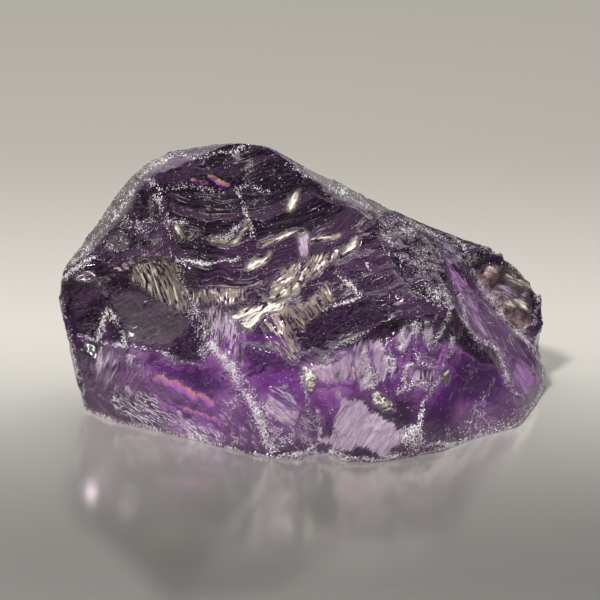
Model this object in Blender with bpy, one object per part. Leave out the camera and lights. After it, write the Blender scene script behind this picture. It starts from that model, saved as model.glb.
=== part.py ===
"""A rough amethyst: one broken piece of clear purple quartz, lying on its flattest break.

The piece starts as the convex chunk that its outermost corners span. Each flake that broke away
left a conchoidal scar, which is part of a large ball with low rings around the point that was
struck. Every scar is turned as such a ball and cut from the chunk, so that the ridges between
scars fall where neighbouring balls meet.

Corners are in millimetres and the scene is in metres. +X is right, +Y is away from the viewer,
+Z is up, and the resting face lies at z = 0. TO_CENTRE moves the finished piece so that the
middle of its box stands over the origin.
"""

import math
from dataclasses import dataclass

import bmesh
import bpy
import numpy as np
from mathutils import Matrix, Vector

MM = 0.001
HEART = Vector((0.0, 0.0, 9.0))
TO_CENTRE = Vector((-0.35, 0.5, 0.0))

# How finely the balls are spun: circles within reach of the scar, circles beyond it and turns
RING_STEP = 0.9
RING_TURNS = 44
RINGS_PER_WAVE = 4
PLAIN_CIRCLES = 7
PLAIN_TURNS = 30
FAR_CIRCLES = 8
SPARE = 1.25
WIDEST_REACH = 0.8 * math.pi

# Corners along the skyline and the left shoulder
SHOULDER = (-22.1, -2.0, 13.1)
CREST_1 = (-15.8, 2.0, 21.2)
CREST_2 = (-14.6, 2.0, 22.4)
CREST_3 = (-12.3, 2.4, 23.5)
CREST_4 = (-8.0, 3.0, 24.1)
CREST_5 = (-5.8, 3.0, 24.3)
CREST_6 = (-3.6, 3.2, 23.9)
CREST_7 = (-2.4, 3.4, 23.1)
STRIP_LOW = (-18.6, -1.5, 16.2)
STRIP_MID = (-15.9, -0.5, 18.9)
STRIP_TOP = (-13.4, 0.5, 22.2)
CAP_LEFT = (-13.2, -1.3, 22.0)
CAP_MID = (-8.1, 0.0, 20.7)
CAP_RIGHT = (-3.0, 0.6, 20.3)

# Corners of the left side: the brow over the bowl, its lower crease and the keel beside it
CHEEK_TOP = (-13.1, -1.6, 20.2)
CHEEK_LOW = (-11.7, -5.5, 15.8)
BROW_LEFT = (-18.8, -3.0, 14.7)
BROW_MID = (-16.6, -4.2, 13.5)
FLANK_LEFT = (-22.5, -1.6, 10.4)
CREASE_LEFT = (-21.9, -2.6, 7.6)
CREASE_END = (-21.2, -3.0, 7.3)
CREASE_A = (-18.3, -5.2, 7.6)
CREASE_B = (-13.7, -8.2, 7.9)
CREASE_RIGHT = (-9.2, -10.8, 7.6)
BOWL_LEFT = (-21.3, -2.4, 13.0)
KEEL_A = (-9.6, -9.0, 12.8)
KEEL_B = (-8.4, -10.4, 10.3)
KEEL_C = (-7.1, -11.6, 8.4)
KEEL_D = (-5.3, -12.7, 6.2)
KEEL_E = (-3.9, -13.4, 3.9)
KEEL_FOOT = (-3.0, -14.0, 1.1)

# Corners of the front: the ledge, the step below it and the ridge from the point struck
LEDGE_FAR = (5.0, -2.0, 16.1)
LEDGE_A = (1.5, -4.3, 14.5)
LEDGE_B = (-1.2, -6.7, 13.1)
LEDGE_C = (-3.7, -8.8, 12.1)
LEDGE_D = (-6.3, -10.5, 11.6)
STEP_LEFT = (0.8, -9.6, 11.6)
STEP_MID = (5.2, -6.9, 12.5)
STRUCK = (0.2, -13.2, 7.7)
RIDGE_A = (2.3, -12.6, 8.7)
RIDGE_B = (6.0, -10.6, 10.5)
RIDGE_C = (8.8, -8.8, 11.7)
SLIT_LEFT = (5.4, -10.1, 9.8)
SLIT_RIGHT = (9.1, -8.9, 10.8)
SLIT_LOW = (7.8, -9.4, 9.4)
FAN_LOW = (-3.5, -12.3, 9.2)
FAN_SIDE = (0.0, -11.4, 10.7)

# Corners of the shelf and the pale facet under the ridge
SHELF_SIDE = (11.1, -11.4, 4.6)
SHELF_LOW = (8.6, -13.6, 2.4)
SHELF_LEFT = (3.7, -13.6, 5.3)
PALE_LEFT = (3.7, -13.4, 5.2)
PALE_TOP = (5.2, -13.9, 5.1)
PALE_RIGHT = (8.9, -14.2, 2.2)
PALE_LOW = (6.3, -15.0, 0.6)
CLEFT_LEFT = (0.4, -13.8, 0.0)
CLEFT_RIGHT = (2.6, -13.6, 0.0)
NOTCH_TOP = (0.8, -14.0, 5.3)

# Rims of the small scars
LENS_LEFT = (-15.6, -1.3, 18.8)
LENS_RIGHT = (-13.4, -1.9, 20.2)
LENS_LOW = (-13.9, -2.5, 18.2)
CRESCENT_LEFT = (10.1, -9.2, 8.8)
CRESCENT_RIGHT = (13.2, -8.6, 8.6)
CRESCENT_LOW = (11.7, -9.7, 7.0)
STAIR_LEFT = (9.1, -10.0, 6.6)
STAIR_RIGHT = (12.0, -9.8, 6.9)
STAIR_LOW = (10.9, -10.8, 5.2)
SHELL_LEFT = (6.0, -11.9, 5.1)
SHELL_RIGHT = (7.7, -11.3, 5.2)
SHELL_LOW = (7.3, -12.6, 3.8)

# Corners of the right side: the window facet, the long flank and the knob behind it
APEX = (13.7, -7.2, 11.7)
WINDOW_LEFT = (12.3, -9.8, 6.4)
WINDOW_FOOT = (10.9, -12.0, 1.2)
LIP = (12.9, -11.5, 1.0)
WINDOW_RIGHT_A = (14.8, -7.6, 9.7)
WINDOW_RIGHT_B = (17.1, -7.0, 7.8)
WINDOW_RIGHT_C = (19.1, -5.8, 3.3)
SPUR_A = (7.2, 3.0, 16.8)
SPUR_B = (9.7, 0.6, 15.7)
SPUR_C = (10.7, -1.8, 14.2)
SPUR_D = (12.4, -4.6, 12.4)
FLANK_KNOB_A = (15.0, 4.2, 13.3)
FLANK_KNOB_B = (18.0, 2.0, 9.1)
FLANK_KNOB_C = (21.5, 4.2, 4.9)
FLANK_END = (22.6, 1.5, 2.0)
KNOB_TOP = (17.9, 6.5, 12.6)
KNOB_A = (20.2, 6.5, 10.8)
KNOB_B = (22.6, 6.0, 8.0)
KNOB_C = (22.8, 5.5, 7.3)
KNOB_FACE = (21.0, 5.8, 10.1)
SIDE_TOP = (22.9, 3.2, 6.2)
SIDE_FRONT = (22.6, -1.4, 4.8)
SIDE_LOW = (22.9, 3.2, 2.0)
BULGE_B = (23.1, 3.0, 0.7)

# Corners of the back
BACK_SADDLE = (8.0, 10.5, 13.5)
BACK_HEEL = (-12.0, 12.3, 3.0)
BACK_SILL = (11.0, 14.2, 1.5)
CREST_BACK_LEFT = (-12.3, 3.4, 23.6)
CREST_BACK_RIGHT = (-3.0, 4.4, 23.4)
HAUNCH_LOW = (-21.6, 1.0, 12.0)
HAUNCH_HIGH = (-14.5, 4.2, 21.5)
BACK_TOP = (-8.0, 8.0, 20.5)
BACK_LEFT = (-18.0, 8.0, 11.0)
BACK_SHOULDER = (-21.8, 3.5, 11.5)
BACK_MID = (-4.0, 13.0, 10.5)
BACK_RIGHT = (9.0, 13.5, 8.0)
BACK_KNOB = (19.5, 10.5, 7.0)

# The resting outline, walked round from the left
FOOT = (
    (-20.4, -3.0, 0.0),
    (-17.3, -6.1, 0.0),
    (-13.3, -8.9, 0.0),
    (-8.1, -12.8, 0.0),
    (-2.6, -14.2, 0.0),
    (0.3, -13.7, 0.0),
    (6.3, -15.2, 0.0),
    (8.6, -14.4, 0.0),
    (13.4, -12.0, 0.0),
    (15.5, -11.3, 0.0),
    (17.4, -9.8, 0.0),
    (20.1, -6.4, 0.0),
    (21.8, -2.0, 0.0),
    (23.2, 3.0, 0.0),
    (22.4, 8.5, 0.0),
    (15.0, 13.5, 0.0),
    (4.0, 15.5, 0.0),
    (-8.0, 14.5, 0.0),
    (-16.5, 9.5, 0.0),
    (-20.4, 2.5, 0.0),
)

# Every corner that the chunk spans, besides the resting outline
OUTER = (
    SHOULDER, CREST_1, CREST_2, CREST_3, CREST_4, CREST_5, CREST_6, CREST_7,
    STRIP_LOW, STRIP_MID, STRIP_TOP, CAP_LEFT, CAP_MID, CAP_RIGHT,
    CHEEK_TOP, CHEEK_LOW, BROW_LEFT, BROW_MID, FLANK_LEFT,
    CREASE_LEFT, CREASE_A, CREASE_B, CREASE_RIGHT,
    KEEL_A, KEEL_B, KEEL_C, KEEL_D, KEEL_E, KEEL_FOOT,
    LEDGE_A, LEDGE_B, LEDGE_C, LEDGE_D, STEP_LEFT, STEP_MID, STRUCK, RIDGE_A, RIDGE_B, RIDGE_C,
    SHELF_LEFT, SHELF_LOW, SHELF_SIDE, PALE_TOP, PALE_RIGHT,
    APEX, WINDOW_LEFT, WINDOW_FOOT, WINDOW_RIGHT_A, WINDOW_RIGHT_B, WINDOW_RIGHT_C,
    SPUR_A, SPUR_B, SPUR_C, SPUR_D, FLANK_END,
    KNOB_TOP, KNOB_A, KNOB_B, KNOB_C, BULGE_B,
    BACK_TOP, BACK_LEFT, BACK_SHOULDER, BACK_MID, BACK_RIGHT, BACK_KNOB,
)


@dataclass(frozen=True)
class Scar:
    """One flake scar: part of a ball that meets its three rim corners and is hollow deep.

    The ball may be stretched along a direction, and low rings may run round the point struck.
    """

    name: str
    rim: tuple
    hollow: float
    along: tuple = (1.0, 0.0, 0.0)
    stretch: float = 1.0
    struck: tuple = None
    rings: float = 0.0


# The directions that stretched scars run along
LEDGE_WAY = (1.0, 0.3, 0.1)
RIDGE_WAY = (1.0, 0.6, 0.2)
BOWL_WAY = (0.8, -0.55, 0.0)
SLIT_WAY = (0.85, 0.3, 0.4)
CLEFT_WAY = (-0.3, -0.1, 0.95)
FLANK_WAY = (0.68, -0.2, -0.7)
KNOB_WAY = (0.62, 0.0, -0.78)
SIDE_WAY = (0.0, 0.94, -0.34)

# Each scar's name, rim corners and hollow, with its stretch, point struck and ring height
FRONT_SCARS = (
    Scar("cap", (CREST_5, CAP_LEFT, CAP_RIGHT), 0.3),
    Scar("face", (CAP_RIGHT, LEDGE_C, LEDGE_FAR), 0.93, LEDGE_WAY, 2.2, STRUCK, 0.14),
    Scar("bowl", (CREASE_A, CREASE_RIGHT, CHEEK_LOW), 2.3, BOWL_WAY, 1.4),
    Scar("dimple", (BOWL_LEFT, CREASE_END, BROW_MID), 1.2),
    Scar("cheek", (STRIP_LOW, CAP_LEFT, CHEEK_LOW), 0.4),
    Scar("cheek_high", (LENS_LEFT, LENS_RIGHT, LENS_LOW), 0.3),
    Scar("step", (LEDGE_A, LEDGE_B, STEP_MID), 0.2, LEDGE_WAY, 2.0),
    Scar("ridge", (STEP_MID, RIDGE_A, RIDGE_C), 0.5, RIDGE_WAY, 2.0, STRUCK, 0.08),
    Scar("slit", (SLIT_LEFT, SLIT_RIGHT, SLIT_LOW), 0.7, SLIT_WAY, 2.5),
    Scar("shelf", (RIDGE_A, RIDGE_C, SHELF_LOW), 1.2, struck=STRUCK, rings=0.1),
    Scar("crescent", (CRESCENT_LEFT, CRESCENT_RIGHT, CRESCENT_LOW), 0.4),
    Scar("stair", (STAIR_LEFT, STAIR_RIGHT, STAIR_LOW), 0.35),
    Scar("shell", (SHELL_LEFT, SHELL_RIGHT, SHELL_LOW), 0.3),
    Scar("fan", (LEDGE_C, FAN_LOW, FAN_SIDE), 0.7),
    Scar("foot", (CREASE_A, KEEL_D, FOOT[1]), 0.3),
    Scar("dome", (KEEL_C, KEEL_E, NOTCH_TOP), 0.3),
    Scar("cleft", (CLEFT_LEFT, CLEFT_RIGHT, NOTCH_TOP), 0.8, CLEFT_WAY, 2.0),
    Scar("pale", (PALE_LEFT, PALE_RIGHT, PALE_LOW), 0.1),
    Scar("window", (APEX, LIP, WINDOW_RIGHT_C), 0.8),
    Scar("flank", (APEX, WINDOW_RIGHT_C, FLANK_KNOB_B), 0.6, FLANK_WAY, 7.0),
    Scar("knob", (FLANK_KNOB_A, FLANK_KNOB_C, KNOB_FACE), 1.0, KNOB_WAY, 2.5),
    Scar("side", (SIDE_TOP, SIDE_FRONT, SIDE_LOW), 0.9, SIDE_WAY, 2.5),
)
BACK_SCARS = (
    Scar("crest", (CREST_7, KNOB_TOP, BACK_SADDLE), 0.9),
    Scar("back_top", (CREST_BACK_LEFT, CREST_BACK_RIGHT, BACK_MID), 1.4, struck=CREST_5, rings=0.12),
    Scar("back_left", (HAUNCH_LOW, HAUNCH_HIGH, BACK_HEEL), 1.2, struck=SHOULDER, rings=0.1),
    Scar("back_right", (BACK_KNOB, BACK_SADDLE, BACK_SILL), 1.2),
    Scar("back_low", (BACK_MID, BACK_HEEL, BACK_SILL), 0.9),
)
SCARS = FRONT_SCARS + BACK_SCARS


def body_from_corners():
    """The convex chunk that the outermost corners span."""
    mesh = bpy.data.meshes.new("amethyst")
    shape = bmesh.new()
    for corner in OUTER + FOOT:
        shape.verts.new((Vector(corner) + TO_CENTRE) * MM)
    hull = bmesh.ops.convex_hull(shape, input=shape.verts)
    inside = {item for key in ("geom_interior", "geom_unused") for item in hull[key]}
    bmesh.ops.delete(
        shape,
        geom=[item for item in inside if isinstance(item, bmesh.types.BMVert)],
        context="VERTS",
    )
    bmesh.ops.recalc_face_normals(shape, faces=shape.faces)
    shape.to_mesh(mesh)
    shape.free()
    return bpy.data.objects.new("amethyst", mesh)


def stretching(along, amount):
    """The matrix that stretches space along one direction."""
    direction = np.array(along) / np.linalg.norm(along)
    return np.eye(3) + (amount - 1.0) * np.outer(direction, direction)


def ball_through(rim, hollow):
    """Centre, radius and outward direction of the ball through three rim corners, hollow deep."""
    first, second, third = rim
    a = second - first
    b = third - first
    normal = a.cross(b)
    middle = first + (
        normal.cross(a) * b.length_squared + b.cross(normal) * a.length_squared
    ) / (2 * normal.length_squared)
    outward = normal.normalized()
    if outward.dot(middle - HEART) < 0:
        outward.negate()
    spread = (first - middle).length
    radius = (spread**2 + hollow**2) / (2 * hollow)
    return middle + outward * (radius - hollow), radius, outward


def scar_cutter(scar):
    """A spun ball whose pole is the point struck or, without rings, the floor of the scar."""
    stretched = stretching(scar.along, scar.stretch)
    relaxed = np.linalg.inv(stretched)
    rim = [Vector(relaxed @ corner) for corner in scar.rim]
    centre, radius, outward = ball_through(rim, scar.hollow)
    axis = -outward
    if scar.struck:
        axis = (Vector(relaxed @ scar.struck) - centre).normalized()
    reach = max(axis.angle(corner - centre) for corner in rim) * SPARE
    steps = RING_TURNS if scar.struck else PLAIN_TURNS
    count = math.ceil(reach * radius / RING_STEP) if scar.struck else PLAIN_CIRCLES
    reach = min(reach, WIDEST_REACH)
    near = [reach * i / count for i in range(count)]
    far = [reach + (math.pi - reach) * i / FAR_CIRCLES for i in range(FAR_CIRCLES + 1)]
    shape = bmesh.new()
    profile = []
    for index, angle in enumerate(near + far):
        ringed = 0 < index < count
        wave = scar.rings * math.cos(2 * math.pi * index / RINGS_PER_WAVE) if ringed else 0.0
        out = (radius + wave) * math.sin(angle) if 0 < index < count + FAR_CIRCLES else 0.0
        profile.append(shape.verts.new(Vector((out, 0.0, (radius + wave) * math.cos(angle)))))
    edges = [shape.edges.new(pair) for pair in zip(profile, profile[1:])]
    bmesh.ops.spin(
        shape, geom=profile + edges, cent=(0, 0, 0), axis=(0, 0, 1), angle=2 * math.pi,
        steps=steps, use_merge=True,
    )
    bmesh.ops.remove_doubles(shape, verts=shape.verts, dist=1e-4)
    turned = Matrix.Translation(centre) @ axis.to_track_quat("Z", "Y").to_matrix().to_4x4()
    centred = Matrix.Scale(MM, 4) @ Matrix.Translation(TO_CENTRE)
    placed = centred @ Matrix(stretched).to_4x4() @ turned
    bmesh.ops.transform(shape, matrix=placed, verts=shape.verts)
    bmesh.ops.recalc_face_normals(shape, faces=shape.faces)
    mesh = bpy.data.meshes.new(scar.name)
    shape.to_mesh(mesh)
    shape.free()
    cutter = bpy.data.objects.new("cut_" + scar.name, mesh)
    cutter.hide_render = True
    cutter.display_type = "WIRE"
    return cutter


def amethyst_material():
    """Clear purple quartz."""
    material = bpy.data.materials.new("amethyst")
    material.use_nodes = True
    shader = material.node_tree.nodes["Principled BSDF"]
    shader.inputs["Base Color"].default_value = (0.20, 0.07, 0.30, 1.0)
    shader.inputs["Roughness"].default_value = 0.08
    shader.inputs["Metallic"].default_value = 0.0
    return material


def main():
    for old in list(bpy.data.objects):
        bpy.data.objects.remove(old)
    stone = bpy.data.collections.new("rough_amethyst")
    cutters = bpy.data.collections.new("cutters")
    bpy.context.scene.collection.children.link(stone)
    bpy.context.scene.collection.children.link(cutters)
    body = body_from_corners()
    body.data.materials.append(amethyst_material())
    stone.objects.link(body)
    for scar in SCARS:
        cutter = scar_cutter(scar)
        cutters.objects.link(cutter)
        cut = body.modifiers.new(scar.name, "BOOLEAN")
        cut.operation = "DIFFERENCE"
        cut.solver = "EXACT"
        cut.object = cutter


main()
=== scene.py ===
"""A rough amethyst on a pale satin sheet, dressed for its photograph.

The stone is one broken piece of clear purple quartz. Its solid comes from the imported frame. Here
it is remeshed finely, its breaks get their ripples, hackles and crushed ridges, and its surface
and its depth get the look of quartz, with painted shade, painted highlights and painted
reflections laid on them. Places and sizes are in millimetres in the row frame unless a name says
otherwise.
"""

import logging
import math
from collections.abc import Callable
from dataclasses import dataclass
from enum import Enum
from typing import ClassVar

import bmesh
import bpy
import numpy as np
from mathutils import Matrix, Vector, kdtree


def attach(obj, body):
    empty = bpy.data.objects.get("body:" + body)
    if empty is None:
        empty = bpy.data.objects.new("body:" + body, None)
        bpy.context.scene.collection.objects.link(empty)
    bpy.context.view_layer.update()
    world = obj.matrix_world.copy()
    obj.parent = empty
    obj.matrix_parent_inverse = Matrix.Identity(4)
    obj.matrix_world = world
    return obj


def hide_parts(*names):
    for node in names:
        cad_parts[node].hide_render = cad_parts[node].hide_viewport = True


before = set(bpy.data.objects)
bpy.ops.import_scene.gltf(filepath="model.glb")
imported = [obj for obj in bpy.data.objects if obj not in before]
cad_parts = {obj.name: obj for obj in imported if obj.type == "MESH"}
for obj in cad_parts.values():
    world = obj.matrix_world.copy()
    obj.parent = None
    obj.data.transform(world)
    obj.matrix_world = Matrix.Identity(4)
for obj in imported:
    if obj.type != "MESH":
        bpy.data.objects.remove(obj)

MM = 0.001
TENTHS = 10
FAR = 1e9
NODE = "amethyst"

log = logging.getLogger("amethyst")


class Number:
    """A number that runs through a node tree, so that shader maths reads as plain arithmetic."""

    def __init__(self, bench: "Bench", socket: bpy.types.NodeSocket) -> None:
        """Wraps a socket.

        Args:
            bench: the tree that new nodes go in.
            socket: the output that carries the number.
        """
        self.bench = bench
        self.socket = socket

    def _math(self, operation: str, first: object, second: object = 0.0) -> "Number":
        """One Math node.

        Args:
            operation: its operation.
            first: its first input, a number or a Number.
            second: its second input.

        Returns:
            The node's result.
        """
        node = self.bench.node("ShaderNodeMath", {"operation": operation}, {0: first, 1: second})
        return Number(self.bench, node.outputs[0])

    def __add__(self, other: object) -> "Number":
        """This number plus another."""
        return self._math("ADD", self, other)

    __radd__ = __add__

    def __sub__(self, other: object) -> "Number":
        """This number less another."""
        return self._math("SUBTRACT", self, other)

    def __rsub__(self, other: object) -> "Number":
        """Another number less this one."""
        return self._math("SUBTRACT", other, self)

    def __mul__(self, other: object) -> "Number":
        """This number times another."""
        return self._math("MULTIPLY", self, other)

    __rmul__ = __mul__

    def size(self) -> "Number":
        """This number without its sign."""
        return self._math("ABSOLUTE", self)

    def at_least(self, other: object) -> "Number":
        """The larger of this number and another."""
        return self._math("MAXIMUM", self, other)

    def at_most(self, other: object) -> "Number":
        """The smaller of this number and another."""
        return self._math("MINIMUM", self, other)

    def step(self, low: float, high: float) -> "Number":
        """A smooth rise from 0 at low to 1 at high.

        Args:
            low: where the rise starts.
            high: where it ends.

        Returns:
            The risen number, from 0 to 1.
        """
        node = self.bench.node(
            "ShaderNodeMapRange",
            {"interpolation_type": "SMOOTHSTEP"},
            {"Value": self, "From Min": low, "From Max": high},
        )
        return Number(self.bench, node.outputs[0])


class Bench:
    """A material's node tree and the one way in which its nodes are added."""

    def __init__(self, name: str) -> None:
        """Starts an empty material.

        Args:
            name: the material's name.
        """
        self.material = bpy.data.materials.new(name)
        self.material.use_nodes = True
        self.tree = self.material.node_tree
        self.tree.nodes.clear()

    def node(self, kind: str, settings: dict, inputs: dict) -> bpy.types.Node:
        """Adds a node, sets it up and feeds it.

        Args:
            kind: the node's type.
            settings: its properties; "stops" are a ramp's places and colours.
            inputs: its sockets by name or number, with values, sockets or Numbers.

        Returns:
            The node.
        """
        made = self.tree.nodes.new(kind)
        for key, value in settings.items():
            if key == "stops":
                while len(made.color_ramp.elements) < len(value):
                    made.color_ramp.elements.new(1.0)
                for element, (place, colour) in zip(made.color_ramp.elements, value):
                    element.position = place
                    element.color = (*colour, 1.0)
            else:
                setattr(made, key, value)
        for key, value in inputs.items():
            if isinstance(value, Number):
                value = value.socket
            if isinstance(value, bpy.types.NodeSocket):
                self.tree.links.new(value, made.inputs[key])
            else:
                made.inputs[key].default_value = value
        return made

    def place(self) -> bpy.types.NodeSocket:
        """The piece's own coordinates, in metres."""
        return self.node("ShaderNodeTexCoord", {}, {}).outputs["Object"]

    def painted(self, name: str) -> bpy.types.Node:
        """What is painted on the mesh's points under a name."""
        return self.node("ShaderNodeAttribute", {"attribute_name": name}, {})

    def noise(self, place: bpy.types.NodeSocket, scale: float, **more: float) -> Number:
        """Soft noise.

        Args:
            place: the coordinates that it reads.
            scale: how many lumps to a unit of them.
            more: Detail or Roughness.

        Returns:
            The noise, from 0 to 1 about 0.5.
        """
        made = self.node("ShaderNodeTexNoise", {}, {"Vector": place, "Scale": scale, **more})
        return Number(self, made.outputs["Fac"])

    def cells(self, place: bpy.types.NodeSocket, scale: float) -> tuple[Number, Number]:
        """Cells that each have a number of their own.

        Args:
            place: the coordinates that they lie in.
            scale: how many cells to a unit of them.

        Returns:
            The cell's number, from 0 to 1, and the distance to its middle.
        """
        made = self.node("ShaderNodeTexVoronoi", {}, {"Vector": place, "Scale": scale})
        return Number(self, made.outputs["Color"]), Number(self, made.outputs["Distance"])

    def blend(self, share: object, first: object, second: object) -> bpy.types.NodeSocket:
        """Mixes two colours.

        Args:
            share: how much of the second.
            first: a colour or a socket.
            second: a colour or a socket.

        Returns:
            The mixed colour's socket.
        """
        pair = [(*shade, 1.0) if isinstance(shade, tuple) else shade for shade in (first, second)]
        inputs = {0: share, 6: pair[0], 7: pair[1]}
        return self.node("ShaderNodeMix", {"data_type": "RGBA"}, inputs).outputs[2]

    def finish(self, surface: bpy.types.Node, **more: bpy.types.NodeSocket) -> bpy.types.Material:
        """Ends the tree.

        Args:
            surface: the node whose first output is the surface.
            more: the Volume, where there is one.

        Returns:
            The finished material.
        """
        self.node("ShaderNodeOutputMaterial", {}, {"Surface": surface.outputs[0], **more})
        return self.material


class Coat(Enum):
    """What a mark lays on the stone."""

    CRUSH = "crush"
    # hackles, partly real texture and partly painted highlight: the light's reflection in them
    CREAM = "cream"
    VEIL = "veil"
    HAIR = "hair"
    RUST = "rust"
    # painted shade: darkens the glass where the thick stone lets little light through
    SMOKE = "smoke"
    # partly the stone's deeper violet and partly painted shade: half the surface there is the dark
    # core
    DEEP = "deep"
    # painted reflection: the rainbow of a crack inside the stone
    FIRE = "fire"
    # painted reflection: a grey frost that stands for the soft lights' reflection, on the skyline
    # strips and a few faces
    MIST = "mist"

    def softness(self) -> float:
        """How far the edge of a patch fades to either side."""
        return 0.8 if self in (Coat.VEIL, Coat.DEEP, Coat.HAIR) else 0.35

    def claim(self) -> float:
        """How strongly a mark's streaks hold their place against those of other marks."""
        return 0.3 if self in (Coat.SMOKE, Coat.DEEP) else 1.0


@dataclass(frozen=True)
class View:
    """Where the camera stands and aims. The marks are drawn in the plane that it faces."""

    target: tuple = (-0.65, 0.5, 9.8)
    distance: float = 232.0
    elevation: float = 20.0
    turned_away: float = -0.06
    turned_to: float = 0.07

    def back(self) -> tuple:
        """The way from the target to the camera."""
        rise = math.radians(self.elevation)
        return (0.0, -math.cos(rise), math.sin(rise))

    def flatten(self, places: np.ndarray) -> tuple[np.ndarray, np.ndarray]:
        """Where places show in the plane.

        Args:
            places: points in space.

        Returns:
            How far each lies to the right of and above the target, and how far in front of it.
        """
        _, ahead, high = self.back()
        apart = places - np.array(self.target)
        depth = apart @ np.array([0.0, ahead, high])
        nearer = self.distance / (self.distance - depth)
        across = apart @ np.array([1.0, 0.0, 0.0])
        up = apart @ np.array([0.0, high, -ahead])
        return np.stack([across * nearer, up * nearer], axis=1), depth

    def faced(self, places: np.ndarray, normals: np.ndarray) -> np.ndarray:
        """How much of the surface the camera sees.

        Args:
            places: points of the surface.
            normals: its outward directions there.

        Returns:
            From 0 where it is turned away to 1 where it shows.
        """
        sight = np.array(self.target) + np.array(self.back()) * self.distance - places
        sight /= np.linalg.norm(sight, axis=1)[:, None]
        return smooth_rise(np.sum(normals * sight, axis=1), self.turned_away, self.turned_to)


class Lumps(Enum):
    """Soft lumps in space, each kind with the size of a lump and its set of draws."""

    RAG_ACROSS = (1.3, 5)
    RAG_UP = (1.3, 6)
    WIDE = (3.2, 11)
    VEILS = (4.4, 12)
    PATCHES = (2.6, 13)
    CUTS = (1.1, 14)
    RIPPLE = (0.9, 21)
    FOLD = (0.8, 22)
    SWELL = (3.6, 23)
    CHIPS = (0.55, 24)
    KNOBS = (1.2, 27)

    def at(self, places: np.ndarray) -> np.ndarray:
        """Reads the lumps.

        Args:
            places: where they are read.

        Returns:
            Their heights, from -1 to 1.
        """
        size, seed = self.value
        around, shift = 32, 16.0
        table = np.random.default_rng(seed).random((around,) * 3) * 2.0 - 1.0
        cells = places / size + shift
        base = np.floor(cells).astype(int)
        part = cells - base
        part = part * part * (3.0 - 2.0 * part)
        total = np.zeros(len(places))
        for corner in np.ndindex(2, 2, 2):
            weight = np.prod(np.where(corner, part, 1.0 - part), axis=1)
            total += weight * table[tuple(((base + corner) % around).T)]
        return total


class Flakes(Enum):
    """Small flat chips, each tilted its own way, with a step where two of them meet.

    Each kind has the size of a chip, how steeply it tilts, and its set of draws.
    """

    ALONG_GRAIN = (1.5, 0.16, 25)
    BROAD = (2.4, 0.07, 26)

    def at(self, places: np.ndarray) -> np.ndarray:
        """Reads the chips.

        Args:
            places: where they are read.

        Returns:
            Their heights about 0, in the same unit as the places.
        """
        size, slope, seed = self.value
        around, shift, stray = 16, 64.0, 0.42
        draws = np.random.default_rng(seed).random((around, around, around, 6)) * 2.0 - 1.0
        cells = places / size + shift
        base = np.floor(cells).astype(int)
        nearest = np.full(len(places), FAR)
        height = np.zeros(len(places))
        for step in np.ndindex(3, 3, 3):
            cell = base + np.array(step) - 1
            draw = draws[tuple((cell % around).T)]
            apart = cells - (cell + 0.5 + stray * draw[:, :3])
            gap = np.sum(apart * apart, axis=1)
            closer = gap < nearest
            nearest[closer] = gap[closer]
            height[closer] = np.sum(apart * draw[:, 3:], axis=1)[closer]
        return height * size * slope


def smooth_rise(values: np.ndarray, low: float, high: float) -> np.ndarray:
    """A smooth rise from 0 at low to 1 at high.

    Args:
        values: the numbers.
        low: where the rise starts.
        high: where it ends.

    Returns:
        The risen numbers.
    """
    share = np.clip((values - low) / (high - low), 0.0, 1.0)
    return share * share * (3.0 - 2.0 * share)


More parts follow.
